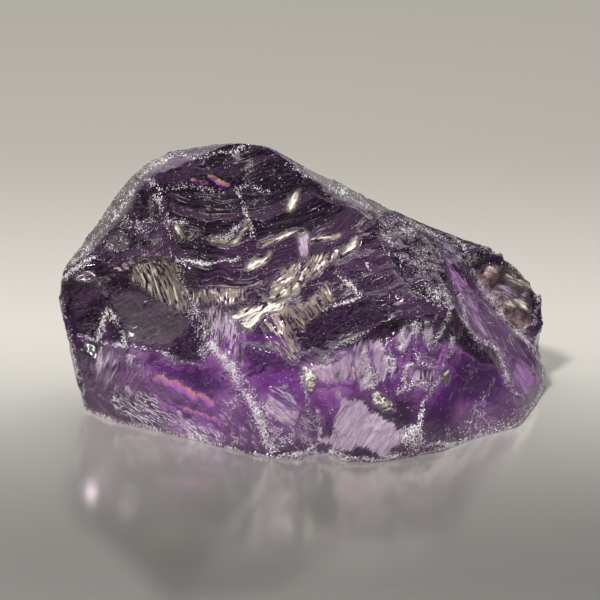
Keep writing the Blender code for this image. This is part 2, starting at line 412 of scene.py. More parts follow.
@dataclass(frozen=True)
class Mark:
    """A line or a patch on the stone, drawn in the plane that the camera faces: a mark that a break
    left, painted shade, or a painted highlight or reflection.

    A mark with a width is a line, and one without is a patch. Its points are whole tenths of a
    millimetre, each to the right of the middle of the view and then above it. Its streaks run at
    an angle above the right, in degrees, or in rings about a point, in tenths too. A patch may be
    sunk into the stone, and relief says how rough the mark leaves it.
    """

    name: str
    coat: Coat
    points: tuple
    width: float = 0.0
    strength: float = 1.0
    run: float = 18.0
    about: tuple = ()
    sink: float = 0.0
    relief: float = 0.6
    line_spread: ClassVar[float] = 0.6
    line_fade: ClassVar[float] = 0.22
    patch_shift: ClassVar[float] = 0.1
    fire_fade: ClassVar[float] = 0.8
    fire_top: ClassVar[tuple] = (-0.25, -0.05)
    fire_start: ClassVar[float] = 0.1

    def corners(self) -> np.ndarray:
        """The points in millimetres, one to a row."""
        return np.array(self.points).reshape(-1, 2) / TENTHS

    def gap(self, spots: np.ndarray) -> np.ndarray:
        """How far spots lie from the mark's line or edge.

        Args:
            spots: places in the plane of the view.

        Returns:
            The distances.
        """
        corners = self.corners()
        ends = corners[1:] if self.width else np.roll(corners, -1, axis=0)
        nearest = np.full(len(spots), FAR)
        for a, b in zip(corners, ends):
            along = b - a
            share = np.clip((spots - a) @ along / (along @ along), 0.0, 1.0)
            nearest = np.minimum(nearest, np.hypot(*(spots - a - share[:, None] * along).T))
        return nearest

    def inside(self, spots: np.ndarray) -> np.ndarray:
        """Tells which spots lie in the patch.

        Args:
            spots: places in the plane of the view.

        Returns:
            True for each that does.
        """
        corners = self.corners()
        within = np.zeros(len(spots), dtype=bool)
        x, y = spots.T
        for a, b in zip(corners, np.roll(corners, -1, axis=0)):
            if a[1] == b[1]:
                continue
            crosses = (a[1] > y) != (b[1] > y)
            within ^= crosses & (x < a[0] + (y - a[1]) / (b[1] - a[1]) * (b[0] - a[0]))
        return within

    def above(self, spots: np.ndarray) -> np.ndarray:
        """Tells which spots lie above the mark's line."""
        corners = self.corners()
        return spots[:, 1] > np.interp(spots[:, 0], corners[:, 0], corners[:, 1])

    def cover(self, spots: np.ndarray) -> np.ndarray:
        """How much of the mark lies on each spot.

        Args:
            spots: places in the plane of the view.

        Returns:
            The cover, from 0 to the mark's strength.
        """
        gap = self.gap(spots)
        if self.coat is Coat.FIRE:
            fade = self.fire_fade * self.width
            cover = self.strength * smooth_rise(self.width - gap, 0.0, fade)
            above = self.above(spots)
            cover[above] *= smooth_rise(-gap[above], *self.fire_top)
            return cover
        if self.width:
            reach = self.line_spread * self.width + self.line_fade
            return self.strength * np.clip(1.0 - gap / reach, 0.0, 1.0)
        deep = np.where(self.inside(spots), gap, -gap)
        soft, shift = self.coat.softness(), self.patch_shift
        return self.strength * smooth_rise(deep, -soft - shift, soft - shift)

    def hue(self, spots: np.ndarray) -> np.ndarray:
        """Which of the rainbow's colours each spot has, across the mark's line.

        Args:
            spots: places in the plane of the view.

        Returns:
            From 0 above the line to 1 below it.
        """
        across = np.where(self.above(spots), -1.0, 1.0) * self.gap(spots) / self.width
        return np.clip(across + self.fire_start, 0.0, 1.0)


def drawn(coat: Coat) -> Callable[..., Mark]:
    """Gives the function that draws marks of one coat, for the table below.

    Args:
        coat: what the marks lay on the stone.

    Returns:
        A function of a mark's name, the numbers of its points, and its other values by name.
    """

    def draw(name: str, *points: int, **more: object) -> Mark:
        """Draws one mark."""
        return Mark(name, coat, points, **more)

    return draw


CRUSH, CREAM, VEIL, HAIR, RUST, SMOKE, DEEP, FIRE, MIST = (drawn(coat) for coat in Coat)

# In the order in which they are laid. Dark marks are painted shade, hackle marks carry painted
# highlights, and the rainbow marks and grey skyline strips are painted reflections
MARKS = (
    CRUSH("keel top", -115, 35, -104, 7, -96, -11, -81, -46, width=0.65, strength=0.62),
    CRUSH("keel side", -67, -48, -58, -67, -45, -82, -35, -97, width=0.37, strength=0.6),
    CRUSH("keel foot", -33, -130, -25, -139, width=0.93),
    CRUSH("base left", -199, -103, -177, -113, -152, -119, -126, -127, -97, -135, -71, -142,
          -28, -146, 6, -142, 15, -135, width=0.37),
    CRUSH("base right", 28, -140, 48, -147, 70, -149, 91, -144, 110, -138, width=0.37),
    CRUSH("lip", 115, -135, 130, -133, 144, -135, 162, -134, 186, -127, 206, -113, 218, -97,
          226, -84, width=0.37, strength=0.9),
    CRUSH("left edge", -221, 0, -216, -23, -210, -53, -202, -84, -198, -103, width=0.37,
          strength=0.7),
    CRUSH("cap ridge", -141, 112, -126, 103, -106, 107, -89, 102, -65, 102, -48, 106, -30, 101,
          width=0.32, strength=0.48),
    CRUSH("cap line", -114, 136, -103, 133, -84, 135, -65, 138, -46, 144, width=0.23, strength=0.6),
    CRUSH("cheek ridge", -133, 98, -129, 86, -124, 73, -108, 72, width=0.56, strength=0.65),
    CRUSH("crack", -58, 100, -53, 88, -48, 77, -42, 60, width=0.15, strength=0.85),
    CRUSH("crack branch", -48, 73, -58, 68, -66, 60, -78, 57, width=0.28, strength=0.9),
    CRUSH("brow", -220, 21, -205, 32, -191, 40, width=0.46, strength=0.9),
    CRUSH("bowl peak", -187, -36, -179, -11, -174, -12, -163, -42, width=0.37, strength=0.75),
    CRUSH("crease", -200, -35, -187, -38, -164, -43, -143, -46, -118, -53, -90, -61, width=0.14,
          strength=0.55),
    CRUSH("broken line", -115, 37, -101, 35, -84, 35, -71, 38, -57, 41, width=0.28, strength=0.8),
    CRUSH("peak edge", 33, 25, 45, 16, 58, 5, 42, -2, 23, -10, width=0.23, strength=0.75),
    CRUSH("struck chain", 2, -67, 4, -85, 6, -100, 17, -115, 19, -130, width=0.46, strength=0.8),
    CRUSH("apex", 141, -8, 134, -25, 124, -42, width=0.23, strength=0.9),
    CRUSH("window left", 142, -35, 139, -48, 131, -66, 122, -85, 115, -97, 113, -108, 111, -121,
          width=0.3, strength=0.8),
    CRUSH("window right", 149, 4, 152, -17, 163, -35, 177, -41, 187, -52, 192, -63, 194, -79,
          207, -88, width=0.3, strength=0.8),
    CRUSH("lens edge", 108, -46, 109, -58, 127, -62, width=0.28, strength=0.8),
    CRUSH("skyline left", -217, 26, -193, 56, -174, 74, -160, 93, -152, 110, -137, 125, -119, 135,
          width=0.28, strength=0.55),
    CRUSH("skyline right", -17, 127, 7, 115, 37, 100, 75, 82, 111, 67, 135, 58, 150, 50, width=0.32,
          strength=0.38),
    CRUSH("knob left", 151, 50, 156, 35, 173, 7, 193, -17, 213, -40, width=0.37, strength=0.75),
    CRUSH("knob sky", 167, 53, 189, 39, 212, 19, 224, 0, width=0.23, strength=0.45),
    CRUSH("side edge", 215, -42, 225, -60, 228, -74, 226, -88, width=0.37, strength=0.6),
    CRUSH("cluster", 115, 7, 130, 16, 142, 0, 135, -8, 121, -3, strength=0.55),
    CRUSH("heap", 92, -133, 97, -119, 113, -115, 115, -130, 108, -141, strength=0.7),
    CRUSH("cheek grit", -174, 58, -161, 78, -124, 75, -121, 67, -154, 59, -167, 45, strength=0.32),
    CREAM("band right", 36, 37, 38, 48, 45, 54, 55, 57, 52, 48, 42, 40, strength=0.8, run=35,
          sink=0.35),
    CREAM("band upper", -10, 6, -5, 23, 0, 34, 11, 42, 33, 48, 34, 41, 23, 33, 17, 25, 4, 19, -5, 8,
          strength=0.66, run=60, sink=0.4),
    CREAM("band middle", -32, 5, -26, 14, -12, 29, -2, 36, 0, 32, -8, 18, -13, 6, -21, 1,
          strength=0.7, run=45, sink=0.3),
    CREAM("band lower", -66, -14, -53, -7, -35, -2, -14, 0, -13, -7, -32, -9, -38, -15, -43, -27,
          -51, -23, -55, -17, run=35, sink=0.35),
    CREAM("beige step", -101, 8, -53, 12, -52, 2, -67, -3, -99, -3, strength=0.64, run=88,
          sink=0.2),
    CREAM("glint top", -13, 85, -9, 97, -2, 102, -2, 94, -7, 84, strength=0.95, run=60, sink=0.2),
    CREAM("stroke one", -81, 56, -69, 55, -59, 58, -49, 69, width=0.46, strength=0.8, run=35),
    CREAM("stroke two", -36, 51, -26, 55, -16, 60, 2, 63, width=0.56, strength=0.85, run=35),
    CREAM("stroke three", 11, 55, 23, 58, 35, 61, width=0.46, strength=0.8, run=30),
    CREAM("oval", -50, 30, -45, 37, -28, 44, -32, 36, -42, 31, run=30, sink=0.25),
    CREAM("glint cheek", -117, 70, -113, 68, -108, 56, -114, 61, run=-60),
    CREAM("glint face", -101, 58, -96, 64, width=0.23, strength=0.8, run=45),
    CREAM("bowl hackles", -156, 19, -153, 31, -135, 40, -119, 35, -107, 9, -102, -9, -113, -9,
          -130, 0, -147, 12, strength=0.64, run=-72),
    CRUSH("keel veil", -117, 35, -107, 17, -94, -17, -85, -42, -89, -58, -97, -42, -103, -17,
          -113, 9, strength=0.36),
    CREAM("fan hackles", 6, -9, 10, 1, 23, 16, 28, 14, 30, -1, 17, -14, 7, -19, strength=0.5,
          run=-60),
    CREAM("fan teeth", -12, -8, 0, -3, 6, -14, 5, -29, -4, -24, strength=0.46, run=-50),
    CREAM("fan facets", -35, -22, -25, -8, -13, -7, -9, -21, -4, -43, -2, -52, -10, -57, -23, -45,
          strength=0.5, run=-60),
    CRUSH("far edge", 210, 26, 217, 9, 221, -6, 216, -23, width=0.28, strength=0.8),
    VEIL("column", 0, 60, 6, 61, 6, 39, 0, 40, run=90),
    VEIL("under step", -95, -8, -53, -6, -53, -33, -67, -38, -82, -28, strength=0.48, run=85),
    VEIL("beside keel", -68, -42, -54, -39, -55, -61, -62, -56, strength=0.6, run=85),
    VEIL("pink band", -43, -91, -23, -87, -6, -100, 14, -113, 19, -122, 6, -127, -13, -122,
         -30, -109, strength=0.5, run=-35),
    HAIR("lower arcs", -197, -39, -163, -45, -130, -52, -139, -67, -176, -85, -200, -74,
         strength=0.42, about=(-269, -28)),
    HAIR("lower hackles", -186, -88, -148, -85, -111, -107, -72, -122, -72, -139, -111, -128,
         -167, -111, strength=0.75, run=-33),
    HAIR("bright hackles", -113, -104, -93, -108, -82, -126, -88, -135, -106, -126, strength=0.5,
         run=-40),
    FIRE("fire", -132, -71, -127, -72, -122, -76, -116, -75, -109, -81, -102, -82, -96, -87,
         -89, -88, -81, -95, width=1.02, run=-50),
    FIRE("fire low", -108, -100, -95, -106, -80, -110, -71, -118, width=0.56, strength=0.7,
         run=-50),
    FIRE("fire cap", -102, 113, -93, 109, -86, 110, width=0.46, strength=0.75, run=10),
    FIRE("fire cap two", -84, 117, -74, 110, -66, 108, width=0.46, strength=0.75, run=10),
    VEIL("bump", -165, -85, -161, -78, -152, -85, -154, -94, -163, -93, strength=0.6, run=45),
    HAIR("flank", 122, 58, 150, 48, 167, 19, 195, -17, 218, -45, 226, -67, 209, -65, 186, -37,
         158, 4, 135, 35, strength=0.36, run=-50),
    VEIL("rim strip", 119, -130, 130, -124, 147, -119, 150, -104, 163, -97, 170, -115, 186, -111,
         213, -95, 204, -111, 184, -127, 158, -134, strength=0.3, run=35),
    VEIL("stair veil", 108, -37, 138, -37, 137, -48, 126, -61, 109, -58, strength=0.3, run=0),
    RUST("brown lens", -156, 76, -147, 89, -134, 94, -135, 80, -143, 76, strength=0.5, run=20),
    RUST("cap lens", -59, 111, -53, 124, -39, 135, -26, 132, -22, 115, -35, 106, strength=0.32,
         run=30),
    RUST("spur brown", 78, 28, 93, 32, 98, 15, 91, 0, 80, 4, strength=0.5, run=40),
    SMOKE("upper dusk", -223, 9, -190, 56, -139, 125, -56, 148, -14, 130, 37, 97, 74, 79, 130, 56,
          145, 0, 130, -28, 93, -28, 46, -46, 19, -48, -9, -37, -51, -28, -79, -19, -93, -46,
          -139, -46, -176, -37, -178, -7, -221, -6, strength=0.92, run=18, relief=0.18),
    SMOKE("face", -127, 100, -88, 100, -28, 99, 0, 106, 42, 89, 72, 78, 58, 61, 0, 35, -46, 0,
          -93, 0, -106, 28, -115, 56, about=(-70, 223), relief=0.16),
    SMOKE("cap", -130, 130, -102, 139, -51, 146, -23, 135, 0, 119, -28, 102, -93, 102, -122, 104,
          run=20, relief=0.14),
    SMOKE("cheek", -174, 56, -156, 80, -132, 97, -113, 63, -113, 35, -139, 41, -160, 17, -180, 30,
          -190, 41, run=30),
    SMOKE("overhang", -219, 15, -193, 37, -180, 33, -167, 23, -143, 17, -139, 7, -162, 7, -174, 9,
          -186, -6, -213, -17, run=10, relief=0.18),
    SMOKE("olive window", -174, 6, -148, 6, -130, -2, -111, -11, -100, -26, -92, -58, -115, -52,
          -163, -42, -174, -28, run=20, relief=0.06),
    SMOKE("purple dusk", -221, 9, -195, 26, -174, 14, -174, 0, -186, -7, -217, -7, run=20,
          relief=0.15),
    SMOKE("dark lens", 11, -23, 28, -7, 58, 3, 82, 2, 85, -9, 76, -20, 42, -33, 17, -48, 2, -43,
          run=28, relief=0.2),
    SMOKE("peak face", -9, -5, 0, 19, 32, 35, 58, 7, 32, -3, 24, -9, 15, -20, run=30, relief=0.14),
    SMOKE("slit", 54, -35, 74, -25, 88, -20, 98, -21, 91, -31, 72, -35, run=25),
    SMOKE("window top", 124, -42, 141, -9, 148, -11, 154, -24, 164, -37, 178, -43, 189, -61,
          167, -59, 141, -37, run=70, relief=0.1),
    SMOKE("spur", 58, 63, 79, 78, 111, 56, 126, 19, 111, 0, 74, 4, 46, 7, 28, 33, 42, 39,
          strength=0.75, run=35),
    SMOKE("knob far", 208, 20, 218, 13, 226, 0, 224, -21, 217, -24, 214, -4, run=70),
    SMOKE("under arch", -53, -48, -35, -43, -9, -58, -17, -63, -45, -62, strength=0.6, run=0),
    DEEP("deep lower left", -139, -54, -102, -59, -78, -65, -71, -84, -82, -91, -102, -82,
         -130, -71, -148, -58, relief=0.1),
    DEEP("deep dome", -50, -46, -28, -48, -4, -67, 0, -93, -14, -100, -35, -85, -49, -67,
         strength=0.9, relief=0.15),
    DEEP("deep window", 121, -93, 126, -72, 141, -46, 163, -58, 189, -67, 193, -84, 167, -100,
         144, -95, 135, -111, 119, -110, strength=0.9, relief=0.1),
    DEEP("deep far left", -221, -4, -182, 0, -187, -35, -210, -35, relief=0.12),
    DEEP("deep notch", -69, -20, -50, -28, -53, -43, -67, -41, strength=0.8),
    DEEP("deep foot", 6, -88, 28, -91, 28, -116, 17, -137, 6, -121, strength=0.35),
    DEEP("deep bulge", 190, -46, 223, -56, 227, -79, 204, -88, strength=0.6),
    HAIR("dome lines", -35, -79, -9, -85, 11, -111, 17, -135, -19, -135, -35, -116, strength=0.55,
         run=-35),
    HAIR("step lines", -97, -7, -51, -6, -51, -46, -79, -42, strength=0.6, run=85),
    # partly painted light: the pale lavender stands for light from the floor seen through the
    # stone, over a frosted face
    VEIL("pale facet", 33, -83, 46, -94, 58, -95, 71, -107, 96, -122, 92, -135, 80, -146, 63, -139,
         53, -135, 46, -141, 28, -136, 17, -133, 30, -126, 32, -115, 37, -102, strength=0.85,
         run=55, relief=0.3),
    HAIR("pale ripples", 42, -102, 70, -110, 93, -124, 79, -141, 42, -130, strength=0.3, run=60),
    CRUSH("keel", -81, -42, -67, -59, -55, -82, -43, -100, -34, -116, -30, -135, width=1.02),
    CRUSH("drip one", 56, -48, 61, -43, 65, -56, 69, -78, 59, -82, 56, -65, strength=0.62, run=72),
    CRUSH("drip two", 76, -43, 84, -46, 87, -61, 84, -71, 78, -59, strength=0.75, run=72),
    CRUSH("drip three", 58, -70, 72, -71, 71, -82, 59, -82, strength=0.72, run=20),
    CRUSH("shelf tops", 48, -46, 61, -38, 77, -33, 74, -42, 58, -48, strength=0.12, run=72),
    CRUSH("edge drip one", 91, -33, 96, -28, 100, -37, 95, -48, 91, -43, strength=0.7, run=78),
    CRUSH("edge drip two", 103, -23, 110, -19, 113, -30, 108, -39, 104, -33, strength=0.66, run=78),
    CRUSH("edge drip three", 115, -22, 120, -20, 122, -35, 125, -43, 119, -46, 115, -37,
          strength=0.78, run=78),
    CREAM("struck star", 1, -61, 6, -62, 17, -72, 10, -85, 4, -84, about=(-1, -59)),
    CRUSH("stair top", 98, -61, 111, -59, 128, -62, width=0.28, strength=0.8),
    CRUSH("stair side", 98, -62, 97, -74, 100, -83, width=0.28, strength=0.7),
    CRUSH("stair low", 91, -83, 106, -78, 122, -80, width=0.37, strength=0.7),
    VEIL("stair", 100, -78, 102, -64, 126, -65, 122, -77, strength=0.5, run=85),
    CRUSH("lens line", 12, -61, 32, -47, 58, -32, 85, -17, width=0.15, strength=0.42),
    SMOKE("slit core", 48, -39, 63, -30, 82, -22, 97, -21, 89, -31, 72, -37, run=25, relief=0.08),
    VEIL("star veil", 6, -63, 28, -58, 50, -48, 52, -72, 28, -76, 11, -71, strength=0.85,
         about=(-1, -65)),
    VEIL("glint low", -114, -103, -108, -113, -97, -129, width=0.28, strength=0.8, run=-55),
    CREAM("shell", 66, -89, 73, -85, 83, -95, 84, -102, 77, -103, 70, -97, strength=0.9,
          about=(61, -85)),
    RUST("olive mist", -167, 0, -139, -5, -111, -17, -100, -42, -139, -42, -165, -35, strength=0.2,
         run=20, relief=0.06),
    RUST("far mist", -213, 7, -193, 23, -174, 9, -182, 0, -204, -4, strength=0.45, run=20,
         relief=0.15),
    RUST("knob face", 167, 22, 178, 35, 191, 32, 202, 20, 211, 9, 215, -7, 216, -22, 210, -29,
         197, -21, 183, -7, 171, 9, run=-30, relief=1),
    SMOKE("knob dark", 148, 35, 154, 50, 173, 53, 176, 35, 165, 25, run=0, relief=0.9),
    SMOKE("knob dark two", 176, 43, 189, 43, 193, 30, 182, 24, run=0, relief=0.9),
    CRUSH("knob grain", 148, 35, 154, 50, 186, 46, 193, 30, 176, 26, 165, 25, strength=0.16,
          relief=0.9),
    VEIL("knob milk", 164, 26, 176, 32, 188, 22, 189, 7, 178, 0, 167, 13, run=30, relief=0.9),
    SMOKE("knob cavity", 191, -11, 202, -7, 212, -15, 210, -26, 197, -22, run=10, sink=0.3),
    CREAM("knob rim", 188, 20, 195, 27, 206, 22, 213, 11, 204, 13, 195, 16, strength=0.84, run=-40),
    CREAM("knob glint", 187, -4, 195, 3, 208, -1, 213, -9, 202, -7, 193, -8, strength=0.9, run=-25),
    VEIL("flank lens", 149, 4, 155, 5, 167, -8, 186, -36, 189, -43, 178, -39, 164, -33, 154, -20,
         strength=0.42, run=-55),
    SMOKE("flank dusk", 130, 56, 150, 48, 165, 23, 186, -5, 167, -5, 150, 9, strength=0.3, run=-50,
          relief=0.4),
    MIST("grey strip", -225, 24, -200, 59, -182, 82, -165, 106, -151, 126, -124, 144, -124, 128,
         -139, 116, -152, 102, -156, 87, -169, 71, -182, 58, -192, 45, -202, 39, strength=0.74,
         run=50, relief=0.45),
    MIST("sky strip", -4, 132, 20, 122, 46, 111, 78, 93, 85, 82, 74, 80, 56, 87, 33, 97, 15, 111,
         strength=0.85, run=-27, relief=0.45),
    SMOKE("flank shade", 156, 35, 176, 9, 204, -20, 221, -46, 223, -65, 204, -61, 186, -35, 165, -4,
          strength=0.14, run=-50, relief=0.4),
    SMOKE("flank deep", 128, 46, 154, 37, 173, 9, 192, -20, 187, -35, 171, -28, 152, -4, 139, 15,
          strength=0.36, run=-50, relief=0.4),
    HAIR("bulge lines", 200, -45, 218, -48, 228, -74, 226, -91, 204, -104, 193, -85, strength=0.3,
         run=-55),
    DEEP("deep arch", -53, -32, -35, -28, -19, -48, 0, -54, 2, -67, -22, -61, -50, -48, relief=0.1),
    SMOKE("arch dusk", -53, -42, -35, -37, -15, -52, 0, -58, -4, -65, -28, -58, -50, -54,
          strength=0.5, run=0),
    SMOKE("window deep", 130, -67, 141, -48, 163, -59, 186, -69, 186, -82, 158, -82, 141, -78,
          strength=0.28, run=-60, relief=0.12),
    CREAM("edge star", 134, -67, 138, -65, 136, -76, 133, -78, strength=0.9, run=60),
    SMOKE("far left dusk", -221, -4, -182, 0, -186, -24, -189, -35, -210, -35, strength=0.8, run=20,
          relief=0.12),
    DEEP("lens deep", 11, -23, 28, -7, 58, 3, 82, 2, 85, -9, 76, -20, 42, -33, 17, -48, 2, -43,
         run=28, relief=0.05),
    DEEP("bowl deep", -115, -28, -100, -24, -90, -54, -106, -52, -119, -46, strength=0.8,
         relief=0.1),
    DEEP("cap deep", -28, 125, -14, 130, 0, 113, -4, 97, -26, 100, -35, 111, strength=0.9,
         relief=0.1),
    DEEP("middle deep", -87, 59, -56, 67, 0, 46, -11, 30, -46, 19, -93, 19, -106, 35, strength=0.6,
         relief=0.16),
    MIST("olive haze", -174, 6, -148, 6, -130, -2, -111, -11, -102, -20, -106, -32, -130, -43,
         -161, -40, -173, -28, strength=0.4, run=20, relief=0.05),
    MIST("shield", -181, 58, -168, 66, -156, 56, -160, 45, -174, 45, strength=0.45, run=30,
         relief=0.1),
    RUST("cheek lens", -153, 63, -139, 67, -123, 59, -128, 49, -147, 50, strength=0.42, run=20,
         relief=0.1),
    HAIR("window lines", 158, -61, 186, -67, 193, -85, 176, -104, 150, -106, 147, -85,
         strength=0.36, run=72, relief=0.12),
    VEIL("window glow", 141, -79, 158, -74, 186, -80, 186, -85, 158, -84, 144, -87, strength=0.28,
         run=8, relief=0.1),
    VEIL("rim bump", 158, -100, 163, -93, 171, -97, 174, -115, 161, -119, 150, -111, strength=0.36,
         run=70, relief=0.5),
    CRUSH("spur crumbs", 97, 63, 108, 50, 115, 35, 122, 17, width=0.56, strength=0.36),
    VEIL("finger one", 48, -45, 58, -39, 63, -46, 65, -67, 69, -80, 58, -82, 51, -67, strength=0.9,
         run=72),
    VEIL("finger two", 65, -38, 72, -34, 78, -43, 80, -61, 78, -78, 71, -80, 68, -59, strength=0.78,
         run=72),
    VEIL("finger three", 79, -33, 84, -37, 90, -48, 91, -65, 85, -76, 82, -59, strength=0.55,
         run=72),
    VEIL("edge finger one", 89, -39, 95, -27, 101, -24, 102, -37, 95, -48, strength=0.8, run=75),
    VEIL("edge finger two", 104, -20, 111, -19, 114, -32, 110, -41, 103, -35, strength=0.7, run=75),
    VEIL("edge finger three", 115, -19, 122, -19, 124, -35, 121, -45, 115, -37, strength=0.75,
         run=75),
    DEEP("shelf gap", 46, -37, 79, -28, 124, -17, 126, -46, 93, -52, 89, -82, 50, -84, strength=0.8,
         run=72, relief=0.4),
    VEIL("star band", 19, -58, 37, -48, 48, -48, 52, -71, 33, -74, 20, -69, strength=0.6, run=10),
    SMOKE("right rubble", 61, 89, 78, 86, 95, 74, 115, 59, 134, 39, 137, 15, 128, -4, 111, 2,
          95, 22, 82, 45, 71, 67, run=-30, relief=0.8),
    VEIL("right rose", 61, 87, 78, 85, 95, 72, 111, 58, 117, 35, 111, 15, 95, 30, 82, 50, 71, 69,
         strength=0.3, run=-30, relief=0.8),
    CRUSH("left chip rim", -180, 59, -176, 50, -169, 45, -161, 45, -160, 51, width=0.13,
          strength=0.6),
    RUST("left facet", -188, 49, -180, 50, -167, 41, -150, 39, -154, 24, -161, 19, -174, 28,
         -184, 39, strength=0.3, run=40, relief=0.15),
    CRUSH("right crumbs", 65, 85, 85, 82, 108, 65, 130, 41, 135, 13, 119, 0, 100, 13, 89, 35,
          78, 59, strength=0.2, run=-30, relief=0.8),
    VEIL("arcs pale", -188, -48, -174, -46, -161, -52, -169, -69, -182, -82, -189, -71,
         strength=0.5, about=(-269, -28)),
    CRUSH("keel foam", -67, -85, -50, -85, -26, -93, -4, -115, 0, -135, -22, -141, -35, -130,
          -56, -102, strength=0.3, run=-50, relief=0.7),
    HAIR("keel lines", -78, -85, -56, -89, -39, -121, -41, -137, -63, -135, -76, -111, strength=0.5,
         run=-35),
    CRUSH("grey strip grain", -219, 22, -200, 56, -182, 80, -165, 104, -151, 124, -130, 139,
          -134, 128, -148, 111, -163, 87, -182, 63, -200, 35, strength=0.24, run=50, relief=0.5),
    CRUSH("sky strip grain", 0, 126, 28, 113, 52, 100, 78, 85, 67, 84, 41, 95, 15, 110,
          strength=0.22, run=-27, relief=0.5),
    SMOKE("dusk left", -219, 11, -200, 22, -176, 13, -174, -4, -184, -28, -208, -30, -217, -9,
          run=20, relief=0.05),
    CRUSH("lip crumbs", 128, -134, 139, -119, 150, -108, 167, -102, 186, -111, 213, -95, 210, -111,
          186, -124, 158, -135, 135, -141, strength=0.24, run=20, relief=0.7),
    VEIL("lip veil", 148, -115, 158, -102, 169, -98, 173, -111, 167, -124, 152, -126, strength=0.45,
         run=75, relief=0.6),
)


@dataclass(frozen=True)
class QuartzFinish:
    """Clear purple quartz with glossy breaks, hackles with painted highlights, painted shade and
    painted reflections, and white crushed ridges.
    """

    ior: float = 1.544
    absorbed: tuple = (0.60, 0.08, 0.73)
    density: float = 62.0
    clear: tuple = (0.92, 0.80, 0.95)
    # painted shade: the near-black purple of the glass in its own shade
    smoke: tuple = (0.062, 0.021, 0.074)
    deep: tuple = (0.50, 0.22, 0.74)
    # painted shade: the dark core's colours, from dusk to a lighter haze
    dusk: tuple = (0.011, 0.003, 0.014)
    haze: tuple = (0.058, 0.025, 0.063)
    glint: tuple = (0.80, 0.52, 0.80)
    # painted shade: the dark core's violet, where the deep marks hold it
    violet: tuple = (0.080, 0.016, 0.130)
    # painted reflection: the grey of the soft lights' reflection
    mist: tuple = (0.130, 0.115, 0.120)
    dust: tuple = (0.90, 0.87, 0.90)
    # painted highlight: the brightest colour of the hackles
    cream: tuple = (0.96, 0.93, 0.84)
    # with the next colour, the hackles' dull mid tones and shaded gaps between their painted
    # highlights
    dull: tuple = (0.29, 0.235, 0.195)
    dark: tuple = (0.075, 0.055, 0.055)
    veil: tuple = (0.62, 0.48, 0.62)
    lilac: tuple = (0.44, 0.30, 0.44)
    rust: tuple = (0.58, 0.39, 0.40)
    # painted reflection: the rainbow's colours across its line
    fire: tuple = (
        (0.0, (0.98, 0.62, 0.25)),
        (0.12, (0.95, 0.36, 0.33)),
        (0.3, (0.86, 0.22, 0.74)),
        (0.6, (0.50, 0.25, 0.84)),
        (1.0, (0.38, 0.36, 0.80)),
    )
    polish: float = 0.03
    grit_scale: float = 4200.0
    clump_scale: float = 520.0
    speck_scale: float = 10200.0
    streak_scale: float = 1.0
    hair_scale: float = 2.9
    fleck_scale: float = 2.6
    sliver_scale: float = 3.4
    plate_scale: float = 0.5
    drift_scale: float = 0.8
    drift_reach: float = 2.2
    bump_depth: float = 0.00028
    crush_edge: tuple = (0.32, 0.52)
    cream_edge: tuple = (0.45, 0.55)
    cream_cover: float = 0.94
    veil_edge: tuple = (0.38, 0.62)
    veil_cover: float = 0.85
    hair_edge: tuple = (0.25, 0.8)
    hair_cover: float = 0.9
    hair_sharpness: float = 13.0
    rust_edge: tuple = (0.25, 0.85)
    rust_cover: float = 0.7
    fire_edge: tuple = (0.3, 1.15)
    fire_cover: float = 0.54
    mist_edge: tuple = (0.25, 0.8)
    mist_cover: float = 0.85
    fleck_edge: tuple = (0.73, 0.76)
    speck_edge: tuple = (4.5, 4.85)
    speck_cover: float = 0.65
    ledge_edge: tuple = (0.1, 0.5)
    ledge_cover: float = 0.38
    ledge_sharpness: float = 26.0
    # how much of the painted shade turns into the dark core
    shade_held: float = 0.8
    deep_held: float = 0.5

    def bent(self, bench: Bench, grain: bpy.types.NodeSocket) -> bpy.types.NodeSocket:
        """Bends the grain's coordinates, so that plates get curved edges.

        Args:
            bench: the material's tree.
            grain: the coordinates along the grain.

        Returns:
            The bent coordinates.
        """
        inputs = {"Vector": grain, "Scale": self.drift_scale, "Detail": 1.0}
        drift = bench.node("ShaderNodeTexNoise", {}, inputs).outputs["Color"]
        moved = {0: drift, 1: (self.drift_reach,) * 3, 2: grain}
        made = bench.node("ShaderNodeVectorMath", {"operation": "MULTIPLY_ADD"}, moved)
        return made.outputs[0]

    def shader(self, bench: Bench, inputs: dict) -> bpy.types.NodeSocket:
        """One shader with the index of quartz.

        Args:
            bench: the material's tree.
            inputs: its other sockets by name, with their values.

        Returns:
            The shader's output.
        """
        made = bench.node("ShaderNodeBsdfPrincipled", {}, {"IOR": self.ior, **inputs})
        return made.outputs[0]

    def make(self) -> bpy.types.Material:
        """Builds the material.

        Returns:
            The finished material.
        """
        bench = Bench("amethyst_quartz")
        place = bench.place()
        grain = bench.painted("grain").outputs["Vector"]
        names = [*(coat.value for coat in Coat), "hue", "relief"]
        sockets = (Number(bench, bench.painted(name).outputs["Fac"]) for name in names)
        crush, cream, veil, hair, rust, smoke, deep, fire, mist, hue, relief = sockets

        # Patterns, in space and along the grain of each break
        grit = bench.noise(place, self.grit_scale, Detail=2.0, Roughness=0.7)
        clumps = bench.noise(place, self.clump_scale, Detail=3.0, Roughness=0.6)
        streaks = bench.noise(grain, self.streak_scale, Detail=4.0, Roughness=0.6)
        hairs = bench.noise(grain, self.hair_scale, Detail=1.0, Roughness=0.6)
        draw, away = bench.cells(place, self.speck_scale)
        sliver, _ = bench.cells(grain, self.sliver_scale)
        patterns = (grit, clumps, streaks, hairs, draw, sliver)
        sways = (pattern - 0.5 for pattern in patterns)
        grit_sway, clump_sway, streak_sway, hair_sway, draw_sway, sliver_sway = sways
        wires = (1.0 - hair_sway.size() * self.hair_sharpness).at_least(0.0)
        bent = self.bent(bench, grain)
        plate, _ = bench.cells(bent, self.plate_scale)
        ledges = bench.node(
            "ShaderNodeTexVoronoi",
            {"feature": "DISTANCE_TO_EDGE"},
            {"Vector": bent, "Scale": self.plate_scale},
        )

